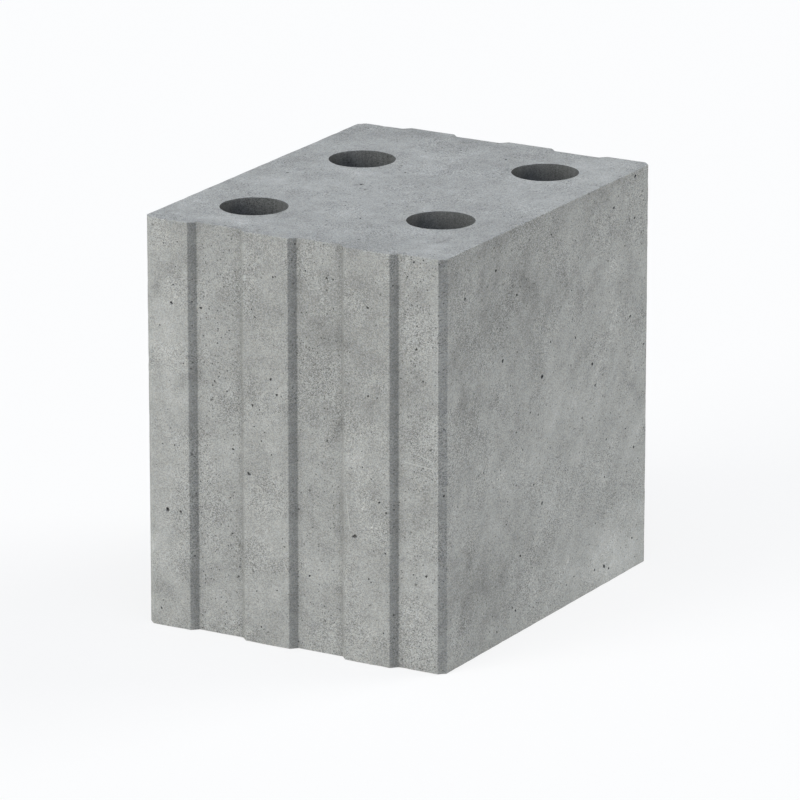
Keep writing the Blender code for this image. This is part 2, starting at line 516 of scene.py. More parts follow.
# %% Lay out the flat pattern and add the walls
PATTERN_GAP = 6 * MM
PATTERN_ROW = block_high[1] - block_low[1] + PATTERN_GAP
closed = np.arange(len(outline) + 1) % len(outline)
edge_lengths = np.linalg.norm(np.diff(outline[closed], axis=0), axis=1)
wall_lengths = np.add.reduceat(edge_lengths, SIDE_ENDS[:-1])
FRONT_PLACE = np.array([0.0, 0.0])
RIGHT_PLACE = np.array([wall_lengths[0] + PATTERN_GAP, 0.0])
BACK_PLACE = RIGHT_PLACE + [wall_lengths[1] + PATTERN_GAP, 0.0]
LEFT_PLACE = np.array([0.0, PATTERN_ROW])
TOP_PLACE = LEFT_PLACE + [wall_lengths[3] + PATTERN_GAP + block_high[0], block_high[1]]
BOTTOM_PLACE = TOP_PLACE + [block_high[0] - block_low[0] + PATTERN_GAP, 0.0]
DUCT_STEP = 2 * math.pi * (DUCT_RADIUS + BED_RADIUS) + PATTERN_GAP

random = np.random.default_rng(21)
wall_places = {"front": FRONT_PLACE, "right": RIGHT_PLACE, "back": BACK_PLACE, "left": LEFT_PLACE}
for (name, place), start, end in zip(wall_places.items(), SIDE_ENDS, SIDE_ENDS[1:]):
    stretch = closed[start:end + 1]
    by_hand, by_chance = NOTABLE.get(name, []), CHANCE_PORES[name]
    add_wall(outline[stretch], outline_normals[stretch], place, by_hand, by_chance, random)
print("walls:", shell.count, "points before welding")

# %% [markdown]
# ## Beds and duct mouths
#
# A bed is the flat top or bottom. Its border has all the fine points of the rounded corners, and its middle
# needs none of them, so a narrow strip leads from the fine ring to a coarser one. Inside that lies a
# blended patch: a grid that takes the shape of four border curves, by adding the blend of one pair of
# curves to the blend of the other and taking away the blend of the corners. The tongues fade out across it.

# %% Join a fine ring to a coarser one
JUST_BEFORE = 1e-9


def strip_faces(fine_distance, coarse_at):
    """Triangles between a fine ring and the coarser ring inside it, which keeps the points coarse_at.

    Each side of the fine ring meets the coarse point nearest to its middle. Where two neighbouring sides meet
    different coarse points, one more triangle fills the wedge between them.
    """
    fine_count, coarse_count = len(fine_distance) - 1, len(coarse_at)
    middle = 0.5 * (fine_distance[:-1] + fine_distance[1:])
    between = 0.5 * (fine_distance[coarse_at] + np.append(fine_distance[coarse_at[1:]], fine_distance[-1]))
    meets = np.searchsorted(between, middle - JUST_BEFORE) % coarse_count
    here = np.arange(fine_count)
    sides = np.stack([here, (here + 1) % fine_count, fine_count + meets], axis=1)
    before = np.roll(meets, 1)
    wedge = before != meets
    wedges = np.stack([fine_count + before, here, fine_count + meets], axis=1)[wedge]
    return [sides, wedges]


# %% Blend four border curves
def blended_patch(near, far, left, right_hand):
    """Grid of points between four border curves: near and far run along x, left and right_hand along y."""
    u = ((near[:, 0] - near[0, 0]) / (near[-1, 0] - near[0, 0]))[:, None, None]
    v = ((left[:, 1] - left[0, 1]) / (left[-1, 1] - left[0, 1]))[None, :, None]
    along = (1 - v) * near[:, None] + v * far[:, None]
    across = (1 - u) * left[None] + u * right_hand[None]
    corners = (1 - v) * ((1 - u) * near[0] + u * near[-1]) + v * ((1 - u) * far[0] + u * far[-1])
    grid = along + across - corners
    grid[:, 0], grid[:, -1], grid[0], grid[-1] = near, far, left, right_hand
    return grid


# %% Make the strip and the grid of a bed
STRIP_WIDTH = 2 * MM
COS_HALF_TURN = math.cos(math.radians(22.5))

fine_ring = outline - BED_RADIUS * outline_normals
coarse_at = np.flatnonzero(outline_kept)
is_corner = np.isin(coarse_at, arc_middles)
step_in = STRIP_WIDTH / np.where(is_corner, COS_HALF_TURN, 1.0)
coarse_ring = outline[coarse_at] - step_in[:, None] * outline_normals[coarse_at]
ring_distance = np.concatenate([[0.0], np.cumsum(edge_lengths)])
strip = strip_faces(ring_distance, coarse_at)

quarter = np.searchsorted(coarse_at, SIDE_ENDS[:-1])
coarse_closed = np.concatenate([coarse_ring, coarse_ring[:1]])
bed_grid = blended_patch(
    coarse_closed[quarter[0]:quarter[1] + 1],
    coarse_closed[quarter[2]:quarter[3] + 1][::-1],
    coarse_closed[quarter[3]:][::-1],
    coarse_closed[quarter[1]:quarter[2] + 1],
)
print("bed grid", bed_grid.shape[:2], "strip triangles", sum(len(part) for part in strip))

# %% [markdown]
# Each duct takes a square block of cells out of the grid. The block's border is joined to the round mouth
# by straight rays from the duct's middle, which keeps every face simple: one ring at the guard distance,
# with twice as many points, and one at the mouth. The duct's wall carries the same rays down to the other
# bed, with the same levels as the outer walls, so all the points meet. The wall's mark is painted shade,
# which darkens the inside of each duct where little light reaches. It has painted light in a stripe down
# one side and more painted shade on another, which even out how the lamps light the inside. Each side
# changes it by its own amount times max(0, cos(angle to that side))^sharpness.

# %% Find the cells and the rays round a duct
MOUTH_CLEARANCE = 4 * MM


def mouth_block(centre):
    """First and last column and row of the block of cells round a duct, and its border, anticlockwise."""
    reach = DUCT_RADIUS + MOUTH_CLEARANCE
    first_i, last_i = (np.abs(bed_grid[:, 0, 0] - x).argmin() for x in (centre[0] - reach, centre[0] + reach))
    column = bed_grid[(first_i + last_i) // 2, :, 1]
    first_j, last_j = (np.abs(column - y).argmin() for y in (centre[1] - reach, centre[1] + reach))
    i, j = np.arange(first_i, last_i), np.arange(first_j, last_j)
    border = np.concatenate([
        bed_grid[i, first_j],
        bed_grid[last_i, j],
        bed_grid[i[::-1] + 1, last_j],
        bed_grid[first_i, j[::-1] + 1],
    ])
    return (first_i, last_i, first_j, last_j), border


def mouth_angles(centre, border):
    """Angle of each border point seen from the duct's middle, with one more between each pair."""
    angle = np.unwrap(np.arctan2(*(border - centre).T[::-1]))
    ahead = np.append(angle[1:], angle[0] + 2 * math.pi)
    return np.stack([angle, (angle + ahead) / 2], axis=1).ravel()


def ray_ring(centre, radius, angles):
    """Plan points at this radius on the rays at these angles."""
    return centre + radius * np.stack([np.cos(angles), np.sin(angles)], axis=1)


# %% Make a bed
def add_bed(level, sense, flat_place, notable, count, random):
    """Hand one bed to the shell: the strip, the grid with its pores, and the ring round each duct mouth.

    sense is 1 for the top bed and -1 for the bottom one, which is the same plan seen from below.
    """
    outward = np.array([0.0, 0.0, float(sense)])

    def placed(plan):
        """Points of the bed at these places in plan, and their places in the flat pattern."""
        return np.column_stack([plan, np.full(len(plan), level)]), plan * (sense, 1) + flat_place

    def hand_over(plan, faces):
        """Give a piece of the bed to the shell."""
        points, flat = placed(plan)
        shell.add(points, outward, flat, [face[:, ::sense] for face in faces])

    hand_over(np.concatenate([fine_ring, coarse_ring]), strip)
    columns, rows = bed_grid.shape[:2]
    quads = grid_quads(columns, rows)
    plain = np.ones(quads.shape[:2], bool)
    for centre in DUCT_CENTRES:
        (first_i, last_i, first_j, last_j), border = mouth_block(centre)
        plain[first_i:last_i, first_j:last_j] = False
        angles = mouth_angles(centre, border)
        rings = [ray_ring(centre, DUCT_RADIUS + BED_RADIUS + gap, angles) for gap in (GUARD, 0.0)]
        size, double = len(border), len(angles)
        faces = bridge(0, size, size, double) + bridge(size, double, size + double, double)
        hand_over(np.concatenate([border, *rings]), faces)

    plan = bed_grid.reshape(-1, 2)
    cells, flats = (part[quads[plain]] for part in placed(plan))
    axes = [np.broadcast_to(axis, (len(cells), 3)) for axis in ([1.0, 0.0, 0.0], [0.0, 1.0, 0.0], outward)]
    taken = add_pores(cells, flats, axes, sense, notable, count, random)
    plain[tuple(np.argwhere(plain)[taken].T)] = False
    hand_over(plan, [quads[plain]])


# %% Add both beds and the walls of the ducts
# Painted shade on the duct walls: a base amount, with painted light down one side and more painted shade on
# another.
DUCT_SHADE_BASE, SIDE_PAINTED_LIGHT, SIDE_PAINTED_SHADE = 1.16, 0.39, 0.39
PAINTED_LIGHT_SIDE, PAINTED_LIGHT_SHARPNESS = np.array([0.79, -0.61]), 8
PAINTED_SHADE_SIDE, PAINTED_SHADE_SHARPNESS = np.array([0.86, 0.50]), 3.2

add_bed(HEIGHT, 1, TOP_PLACE, NOTABLE["top"], CHANCE_PORES["top"], random)
add_bed(0.0, -1, BOTTOM_PLACE, [], CHANCE_PORES["bottom"], random)
for number, centre in enumerate(DUCT_CENTRES):
    rays = mouth_angles(centre, mouth_block(centre)[1])
    rays = np.append(rays, rays[0] + 2 * math.pi)[::-1]
    inward = -ray_ring(0.0, 1.0, rays)
    place = np.array([number * DUCT_STEP, 2 * PATTERN_ROW])
    # Less painted shade towards one side of each duct wall, and more towards another.
    painted_lighter = SIDE_PAINTED_LIGHT * np.maximum(inward @ PAINTED_LIGHT_SIDE, 0.0) ** PAINTED_LIGHT_SHARPNESS
    painted_darker = SIDE_PAINTED_SHADE * np.maximum(inward @ PAINTED_SHADE_SIDE, 0.0) ** PAINTED_SHADE_SHARPNESS
    painted_duct_shade = np.repeat(DUCT_SHADE_BASE - painted_lighter + painted_darker, len(LEVEL))
    add_wall(ray_ring(centre, DUCT_RADIUS, rays), inward, place, [], 0, random, painted_duct_shade)
print("whole shell:", shell.count, "points before welding")

# %% [markdown]
# ## Wear
#
# Nothing cast is quite flat, and edges get knocked. Both are added as a small move inwards, never outwards,
# so the block keeps its size. The move needs two things. The first is a smooth random field: a sum of plane
# waves with random directions. The second is the distance from a point to the nearest outer edge. An inner
# corner of a groove is no such edge, since nothing can knock it, but the material paints shade into it, so
# its distance is measured too.

# %% Measure the distance to the nearest edge
def corner_distance(points, corners):
    """Distance in plan from each point to the nearest of these upright corners."""
    return np.linalg.norm(points[:, None, :2] - corners, axis=2).min(axis=1)


def edge_distance(points):
    """Distance to the nearest upright outer corner, outline of a bed or duct mouth.

    For the outline and the mouths it is the hypotenuse of the distance in plan and the height to the bed.
    """
    plan, to_bed = points[:, :2], np.minimum(points[:, 2], HEIGHT - points[:, 2])
    to_corner = corner_distance(points, CORNERS[~is_inner])
    along = np.roll(CORNERS, -1, axis=0) - CORNERS
    share = ((plan[:, None] - CORNERS) * along).sum(axis=2) / (along**2).sum(axis=1)
    nearest = CORNERS + np.clip(share, 0.0, 1.0)[..., None] * along
    to_outline = np.linalg.norm(plan[:, None] - nearest, axis=2).min(axis=1)
    to_mouth = np.abs(np.linalg.norm(plan[:, None] - DUCT_CENTRES, axis=2) - DUCT_RADIUS).min(axis=1)
    return np.minimum(to_corner, np.hypot(np.minimum(to_outline, to_mouth), to_bed))


def ripple(points, shortest, longest, waves, random):
    """Smooth random field of about unit spread: the sum of cosine waves, times sqrt(2 / waves)."""
    direction = random.normal(size=(3, waves))
    direction /= np.linalg.norm(direction, axis=0)
    length = np.exp(random.uniform(math.log(shortest), math.log(longest), waves))
    phase = random.uniform(0.0, 2 * math.pi, waves)
    return np.cos(points @ (direction * 2 * math.pi / length) + phase).sum(axis=1) * math.sqrt(2 / waves)


# %% [markdown]
# ## Welding
#
# Points of different patches that share a place become one point. Places are rounded before they are
# compared, and an odd offset comes first, because round sizes would lie halfway between two steps. The
# point's normal is the mean of those that it joins, and it moves inwards along that. Counting the sides of
# all faces shows whether the skin is closed, because each side then belongs to two faces, and the volume
# shows that the faces point outwards.

# %% Weld the patches
WELD = 0.001 * MM
OFF_THE_HALF = 0.137

points, normals, flat, pit, duct_shade = (np.concatenate(part) for part in zip(*shell.patches))
used = np.unique(np.concatenate([face.ravel() for face in shell.faces]))
place = np.round(points[used] / WELD + OFF_THE_HALF).astype(np.int64)
_, first, joined = np.unique(place, axis=0, return_index=True, return_inverse=True)
joined = joined.ravel()
new_number = np.zeros(len(points), int)
new_number[used] = joined

skin = points[used][first]
skin_pit, skin_duct_shade = pit[used][first], duct_shade[used][first]
skin_normal = np.stack([np.bincount(joined, normals[used, axis]) for axis in range(3)], axis=1)
skin_normal /= np.linalg.norm(skin_normal, axis=1)[:, None]
faces = [new_number[face] for face in shell.faces]
corner_flats = np.concatenate([flat[face].reshape(-1, 2) for face in shell.faces])

# %% Move the skin inwards
FLATNESS = 0.05 * MM
EDGE_WEAR = 0.12 * MM
WEAR_REACH = 1.0 * MM
HOLLOW_WAVES, HOLLOW_SWING = (30 * MM, 90 * MM, 24), 0.5
KNOCK_WAVES, KNOCKED_FROM = (6 * MM, 26 * MM, 32), 0.5
SCUFF_WAVES, SCUFF_SHARE = (9 * MM, 14 * MM, 24), 0.3
AT_MOST = 2.0

random = np.random.default_rng(5)
to_edge = edge_distance(skin)
hollow = FLATNESS * np.clip(1 + HOLLOW_SWING * ripple(skin, *HOLLOW_WAVES, random), 0.0, AT_MOST)
knocked = np.clip(ripple(skin, *KNOCK_WAVES, random) - KNOCKED_FROM, 0.0, AT_MOST)
scuffed = SCUFF_SHARE * np.clip(1 + ripple(skin, *SCUFF_WAVES, random), 0.0, AT_MOST)
wear = EDGE_WEAR * (knocked + scuffed) * np.exp(-(to_edge / WEAR_REACH) ** 2)
skin = skin - (hollow + wear)[:, None] * skin_normal
skin[:, 2] = np.clip(skin[:, 2], 0.0, HEIGHT)
print(f"deepest wear {wear.max() / MM:.2f} mm, mean hollow {hollow.mean() / MM:.3f} mm")

# %% Check the skin
sides = np.concatenate([
    np.stack([face, np.roll(face, -1, axis=1)], axis=-1).reshape(-1, 2) for face in faces])
_, sharing = np.unique(np.sort(sides, axis=1), axis=0, return_counts=True)
triangles = np.concatenate([
    face[:, [0, corner, corner + 1]] for face in faces for corner in range(1, face.shape[1] - 1)])
a, b, c = skin[triangles].transpose(1, 0, 2)
volume = (np.cross(a, b) * c).sum() / 6
print(len(skin), "points,", len(triangles), "triangles,", int((sharing != 2).sum()), "open sides")
print(f"volume {volume * 1000:.3f} litres")

# %% [markdown]
# ## Stains
#
# Lighter and darker clouds of cement paste are what the eye meets first on a cast face. Their edges are so
# soft that the points of the mesh can carry them. Each stain is a soft bump, strength * exp(-distance^2),
# with the distance measured in its own reaches along x, y and z, and the points are bent by a slow ripple
# first, so that no stain is round. The strong ones that the photograph shows are listed: a place on the
# face, a reach each way, all in millimetres, and a strength. The faces that it hides get theirs by
# chance. Scuffs are bumps as well: rubbed places, where pale flecks show. A strength points out of its
# face, and a point takes as much of it as it faces that way, so nothing bleeds round an edge.

# %% List the stains and scuffs
FRONT_STAINS = [
    (-90, 192, 10, 26, 0.13), (-81, 154, 8, 17, 0.16), (-85, 55, 13, 16, 0.12), (-84, 23, 12, 12, -0.18),
    (-54, 211, 13, 13, 0.13), (-49, 232, 14, 9, -0.15), (-46, 160, 11, 18, -0.12), (-57, 168, 9, 14, -0.12),
    (-32, 134, 8, 11, 0.20), (-43, 58, 16, 14, -0.06), (-51, 31, 11, 14, 0.17), (-20, 172, 12, 12, 0.14),
    (-14, 196, 12, 8, -0.06), (-20, 130, 12, 14, 0.11), (-6, 148, 7, 7, -0.12), (-21, 66, 14, 17, 0.15),
    (-15, 37, 12, 10, 0.14), (27, 198, 19, 32, -0.16), (28, 138, 5, 5, -0.26), (50, 131, 11, 14, 0.13),
    (52, 178, 12, 11, -0.13), (20, 50, 15, 16, 0.11), (56, 224, 16, 10, -0.15), (21, 237, 15, 11, 0.22),
    (50, 244, 14, 5, 0.08), (80, 238, 15, 12, 0.12), (3, 212, 9, 12, -0.16), (-68, 246, 11, 8, -0.15),
    (4, 101, 8, 12, -0.12), (64, 65, 8, 12, -0.14), (64, 186, 8, 8, -0.10), (84, 150, 12, 28, -0.13),
    (27, 111, 12, 16, -0.10), (-92, 161, 7, 9, 0.15), (-14, 171, 9, 8, 0.10), (90, 203, 8, 14, 0.12),
    (-44, 196, 8, 8, -0.12), (88, 42, 11, 14, 0.14), (-88, 120, 20, 110, 0.05), (88, 120, 16, 110, 0.03),
    (19, 120, 16, 120, -0.07), (82, 101, 5, 6, -0.18), (-82, 216, 4, 4, -0.18), (-40, 167, 11, 8, 0.09),
    (-37, 141, 10, 8, 0.09), (70, 121, 10, 8, 0.09), (4, 226, 7, 7, -0.13), (-15, 235, 10, 9, 0.08),
    (-3, 100, 9, 7, -0.09), (32, 36, 6, 7, -0.11), (57, 15, 9, 7, 0.09),
]
RIGHT_STAINS = [
    (-31, 212, 13, 14, -0.22), (-98, 180, 18, 34, -0.14), (16, 200, 15, 18, -0.20), (-13, 180, 17, 17, -0.21),
    (-72, 216, 44, 36, -0.08), (-67, 119, 10, 18, 0.13), (-60, 146, 22, 9, -0.09), (0, 250, 130, 10, -0.17),
    (-76, 27, 40, 30, -0.20), (15, 148, 14, 24, 0.17), (20, 92, 60, 36, 0.12), (62, 176, 16, 14, 0.12),
    (79, 198, 9, 10, 0.16), (70, 229, 14, 10, 0.10), (79, 116, 10, 8, -0.10), (29, 132, 8, 8, -0.10),
    (110, 120, 10, 10, 0.18), (109, 80, 17, 22, 0.08), (85, 17, 45, 24, 0.42), (104, 240, 13, 12, 0.09),
    (-100, 110, 50, 120, -0.06), (100, 110, 55, 120, 0.08), (0, 245, 130, 60, -0.08), (-3, 118, 12, 12, 0.12),
    (-115, 246, 12, 12, -0.14), (-99, 148, 14, 11, -0.16), (-83, 228, 12, 10, -0.12),
    (-35, 21, 13, 12, -0.20), (-70, 49, 20, 10, -0.12), (-76, 165, 16, 9, 0.15), (109, 148, 9, 10, 0.14),
    (-62, 190, 40, 16, -0.08), (-36, 68, 12, 10, -0.12), (22, 197, 14, 9, -0.12), (-70, 37, 24, 9, -0.12),
    (102, 52, 14, 9, 0.12), (-33, 249, 8, 8, 0.14), (90, 244, 8, 8, -0.09), (-102, 24, 9, 8, -0.11),
    (-105, 60, 8, 7, -0.11), (-89, 89, 8, 8, 0.10), (-67, 116, 8, 7, 0.09),
]
TOP_STAINS = [
    (-22, 108, 54, 12, -0.16), (72, 98, 26, 22, 0.13), (20, 77, 13, 13, -0.08), (-8, 70, 12, 11, 0.10),
    (-40, 64, 6, 5, -0.30), (88, 66, 13, 46, 0.11), (-48, -18, 24, 10, 0.13), (-46, 16, 15, 12, 0.12),
    (-25, 61, 8, 6, -0.14), (-55, -1, 14, 6, 0.09), (-25, -36, 8, 6, 0.08), (35, 2, 15, 14, -0.05),
    (6, -62, 8, 8, -0.10), (40, -109, 17, 10, -0.12), (91, -70, 8, 52, -0.06), (75, -108, 20, 12, 0.08),
    (-10, -55, 20, 14, 0.05), (-27.5, -2.5, 4, 4, -0.30), (81, -88, 6, 5, -0.36), (-92, 24, 14, 10, -0.22),
    (-52, -104, 18, 9, 0.34), (-94, -88, 10, 14, 0.10), (32, 80, 8, 8, -0.14), (-95, 100, 9, 14, -0.18),
    (-53, 22, 9, 8, 0.15), (74, 22, 9, 8, 0.15), (44, 8, 12, 9, 0.14), (-80, -19, 12, 9, 0.15),
    (88, -98, 9, 14, 0.20), (66, 49, 12, 8, 0.13),
]
FRONT_SCUFFS = [
    (51, 92, 9, 22, 1.0), (19, 216, 8, 16, 0.8), (-17, 168, 7, 7, 0.7), (47, 120, 9, 8, 0.6),
]
RIGHT_SCUFFS = [
    (76, 197, 7, 5, 1.3), (78, 170, 14, 13, 0.8), (72, 150, 15, 11, 0.7), (70, 123, 7, 4, 1.0),
    (23, 24, 5, 5, 1.3), (42, 190, 11, 8, 0.6), (-58, 101, 4, 6, 1.0), (105, 212, 13, 20, 0.7),
    (-100, 226, 12, 9, 0.6), (-15, 38, 26, 18, 0.6),
]
TOP_SCUFFS = [
    (-9, 38, 7, 5, 1.3), (-31, 34, 4, 4, 1.2), (-12, 67, 14, 6, 0.9), (85, 3, 8, 14, 0.8), (68, 3, 7, 8, 0.7),
]
print(len(FRONT_STAINS + RIGHT_STAINS + TOP_STAINS), "stains placed by hand")

# %% Put the tables in space
FACE_DEPTH = 14
SHOWN_FACES = ((1, block_low[1] / MM, -1), (0, right_x, 1), (2, top_z, 1))


def on_faces(*tables):
    """Rows of place, reach and strength in space, from the tables of the front, the right side and the top.

    Each face is one axis, its level on that axis and the sense in which it looks along it.
    """
    rows = []
    for table, (axis, level, sense) in zip(tables, SHOWN_FACES):
        table = np.array(table, float)
        place = np.insert(table[:, :2], axis, level, axis=1)
        reach = np.insert(table[:, 2:4], axis, FACE_DEPTH, axis=1)
        strength = table[:, 4:] * sense * np.eye(3)[axis]
        rows.append(np.stack([place, reach, strength], axis=1))
    return np.concatenate(rows)


def bumps(points, rows):
    """Sum of dot(normal, strength) * exp(-((point - place) / reach)^2) over the rows."""
    total = np.zeros(len(points))
    for place, reach, strength in rows:
        total += skin_normal @ strength * np.exp(-(((points - place) / reach) ** 2).sum(axis=1))
    return total


# %% Lay the stains
CHANCE_STAINS = 70
CHANCE_REACH, CHANCE_STRENGTH = (8.0, 28.0), 0.10
FACES_HIDDEN = 0.5
BEND_WAVES, STAINS_BENT = (14 * MM, 50 * MM, 24), 4.0

hidden = np.flatnonzero((skin_normal * (-1, 1, -1)).max(axis=1) > FACES_HIDDEN)
chosen = random.choice(hidden, CHANCE_STAINS)
by_chance = np.stack([
    skin[chosen] / MM,
    random.uniform(*CHANCE_REACH, (CHANCE_STAINS, 3)),
    skin_normal[chosen] * random.normal(0.0, CHANCE_STRENGTH, (CHANCE_STAINS, 1)),
], axis=1)
stains = np.concatenate([on_faces(FRONT_STAINS, RIGHT_STAINS, TOP_STAINS), by_chance])
slow = np.stack([ripple(skin, *BEND_WAVES, random) for _ in range(3)], axis=1)
bent = skin / MM + STAINS_BENT * slow
stain = bumps(bent, stains)
scuff = bumps(bent, on_faces(FRONT_SCUFFS, RIGHT_SCUFFS, TOP_SCUFFS))
print(len(stains), "stains, from", round(stain.min(), 2), "to", round(stain.max(), 2))

# %% [markdown]
# The arrays now go into a Blender mesh. The marks become attributes that the material can read: how deep in
# a pore a point is, how much painted shade a duct's wall carries, how far the nearest outer edge and inner
# corner are, how light or dark it is stained, how scuffed it is, and how smooth. The plain sides come off a
# smooth plate and the beds are struck off, so that mark is a power of the normal's x, plus a smaller share
# of its z. Sides that turn by more than about 35 degrees are shaded sharp, so that pores and edges stay
# crisp.

# %% Make the mesh
SHARP_FROM = math.radians(35)
FAR_ENOUGH = 8 * MM
SMOOTH_BEDS = 0.6
SHEET_MARGIN = 0.005
marks = {
    "pit": skin_pit,
    "duct_shade": skin_duct_shade,
    "edge": np.minimum(to_edge, FAR_ENOUGH),
    "nook": np.minimum(corner_distance(skin, CORNERS[is_inner]), FAR_ENOUGH),
    "stain": stain,
    "scuff": scuff,
    "smooth": skin_normal[:, 0]**4 + SMOOTH_BEDS * skin_normal[:, 2]**4,
}

mesh = bpy.data.meshes.new("cast_block")
mesh.from_pydata(skin, [], [corners for face in faces for corners in face.tolist()])
pattern = mesh.uv_layers.new(name="OFBake")
pattern_low = corner_flats.min(axis=0)
pattern_size = corner_flats.max(axis=0) - pattern_low
on_sheet = (corner_flats - pattern_low) / pattern_size.max() * (1 - 2 * SHEET_MARGIN) + SHEET_MARGIN
pattern.data.foreach_set("uv", on_sheet.astype(np.float32).ravel())
for name, values in marks.items():
    mesh.attributes.new(name, "FLOAT", "POINT").data.foreach_set("value", values.astype(np.float32))
mesh.shade_smooth()
mesh.set_sharp_from_angle(angle=SHARP_FROM)

cast_block = add_object("cast_block", mesh)
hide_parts(BLOCK)
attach(cast_block, "root")
print("flat pattern", np.round(pattern_size / MM).astype(int).tolist(), "mm")

# %% [markdown]
# ## Shader maths
#
# A material is a formula over the surface, and written as nodes even a short formula fills a screen. Here
# one small class wraps an output socket, so that an expression such as 1 - mask * 0.3 adds the Math nodes
# itself. Colours and vectors go through Mix and Vector Math nodes, because a Math node would turn them
# grey. Every node comes from one method, which takes its kind, the value or link of each socket, and its
# settings.

# %% Wrap a socket
class Wire:
    """An output socket of a node tree that does arithmetic."""

    def __init__(self, socket):
        self.socket = socket

    @classmethod
    def node(cls, tree, kind, inputs=None, output=0, **settings):
        """Add a node, set it up, fill or link its sockets, and give one of its outputs."""
        made = tree.nodes.new(kind)
        for name, value in settings.items():
            setattr(made, name, value)
        for name, value in (inputs or {}).items():
            if isinstance(value, Wire):
                tree.links.new(value.socket, made.inputs[name])
            else:
                made.inputs[name].default_value = value
        return cls(made.outputs[output]) if len(made.outputs) else None

    def also(self, output):
        """Another output of the same node."""
        return Wire(self.socket.node.outputs[output])

    def math(self, operation, *values):
        """A Math node with these values."""
        return Wire.node(self.socket.id_data, "ShaderNodeMath", dict(enumerate(values)), operation=operation)

    def __add__(self, other):
        return self.math("ADD", self, other)

    def __sub__(self, other):
        return self.math("SUBTRACT", self, other)

    def __mul__(self, other):
        return self.math("MULTIPLY", self, other)

    def __truediv__(self, other):
        return self.math("DIVIDE", self, other)

    def __rsub__(self, other):
        return self.math("SUBTRACT", other, self)

    __radd__ = __add__
    __rmul__ = __mul__

    def step(self, low, high):
        """Smooth step: 0 at low, 1 at high and beyond. high may be below low."""
        if high < low:
            return 1 - self.step(high, low)
        return Wire.node(self.socket.id_data, "ShaderNodeMapRange", {
            "Value": self, "From Min": low, "From Max": high,
        }, interpolation_type="SMOOTHSTEP")


# %% Start a tree and mix two colours
def fresh_tree(owner):
    """The emptied node tree of a material or a world."""
    owner.use_nodes = True
    owner.node_tree.nodes.clear()
    return owner.node_tree


def mix_colours(tree, share, first, second):
    """The first colour where the share is 0, and the second where it is 1."""
    return Wire.node(tree, "ShaderNodeMix", {0: share, 6: first, 7: second}, 2, data_type="RGBA")


# %% [markdown]
# ## Concrete
#
# Bare concrete is grey at a glance, but it has a life at every scale. Cement paste, sand and water separate
# a little and leave cloudy patches as wide as a hand. Smaller mottling lies over them, then sand grains,
# and pinholes too small to model. Each is one texture of a known size in millimetres, read at the point's
# own place, so it runs through the block as it does in the real one. Their sum is a tone that multiplies
# one colour. The named numbers say how far each layer moves that tone.

# %% Start the concrete
concrete = bpy.data.materials.new("cast_concrete")
tree = fresh_tree(concrete)
spot = Wire.node(tree, "ShaderNodeTexCoord", output="Object")


def mark(name):
    """A number kept at each point of the mesh."""
    return Wire.node(tree, "ShaderNodeAttribute", output="Fac", attribute_name=name)


def moved(offset, stretch=(1.0, 1.0, 1.0)):
    """The place on the block, stretched and then moved, so that two layers of one texture don't line up."""
    return Wire.node(tree, "ShaderNodeMapping", {"Vector": spot, "Location": offset, "Scale": stretch})


def cloud(size, detail=2.0, roughness=0.5, at=spot):
    """Noise whose patches are about size across, with its middle at nought."""
    return Wire.node(tree, "ShaderNodeTexNoise", {
        "Vector": at, "Scale": 1 / size, "Detail": detail, "Roughness": roughness,
    }) - 0.5


def pinholes(spacing, radius, share, at):
    """Mask of round dots: the middles of random cells that lie near the surface.

    The distance to the nearest middle is compared with the radius, times 0.4 to 1.4 by a random number of
    the cell. A second one decides whether the cell is in the share that has a dot at all.
    """
    distance = Wire.node(tree, "ShaderNodeTexVoronoi", {"Vector": at, "Scale": 1 / spacing})
    lottery = Wire.node(tree, "ShaderNodeSeparateColor", {"Color": distance.also("Color")}, "Red")
    inside = (distance * spacing / ((lottery.also("Green") + 0.4) * radius)).step(1.0, 0.6)
    return inside * lottery.step(share, share - 0.01)


# %% Make the layers of the concrete
GRAIN_STRETCH = (1.0, 0.8, 1.0)
GRAIN_LEAST, GRAIN_ROUGH, GRAIN_SCUFFED, GRAIN_SMOOTHED = 0.74, 0.50, 0.35, 0.14
DOTS_SMOOTHED, DOTS_IN_DUCT_SHADE = 0.30, 0.5


def grains(size, at):
    """Cells about size across, each with two random numbers of its own: a tone round nought and a share."""
    cell = Wire.node(tree, "ShaderNodeTexVoronoi", {"Vector": at, "Scale": 1 / size}, "Color")
    numbers = Wire.node(tree, "ShaderNodeSeparateColor", {"Color": cell}, "Red")
    return numbers - 0.5, numbers.also("Green")


pit_mark, duct_shade_mark, edge_mark, nook_mark, stain_mark, scuff_mark, smooth_mark = map(mark, marks)
broad = cloud(70 * MM, 2.0, 0.5)
patchy = cloud(28 * MM, 3.0, 0.5, moved((0.07, 0.41, 0.0)))
mottle = cloud(9 * MM, 3.0, 0.55, moved((0.31, 0.0, 0.0)))
sand = cloud(1.3 * MM, 2.0, 0.7, moved((0.0, 0.17, 0.0), GRAIN_STRETCH))
speckle, hue = grains(0.5 * MM, moved((0.0, 0.0, 0.23), GRAIN_STRETCH))
rough_places = cloud(34 * MM, 2.0, 0.5, moved((0.9, 0.2, 0.5))).step(-0.04, 0.12)
grainy = GRAIN_LEAST + rough_places * GRAIN_ROUGH + scuff_mark * GRAIN_SCUFFED
grainy = grainy * (1 - smooth_mark * GRAIN_SMOOTHED)
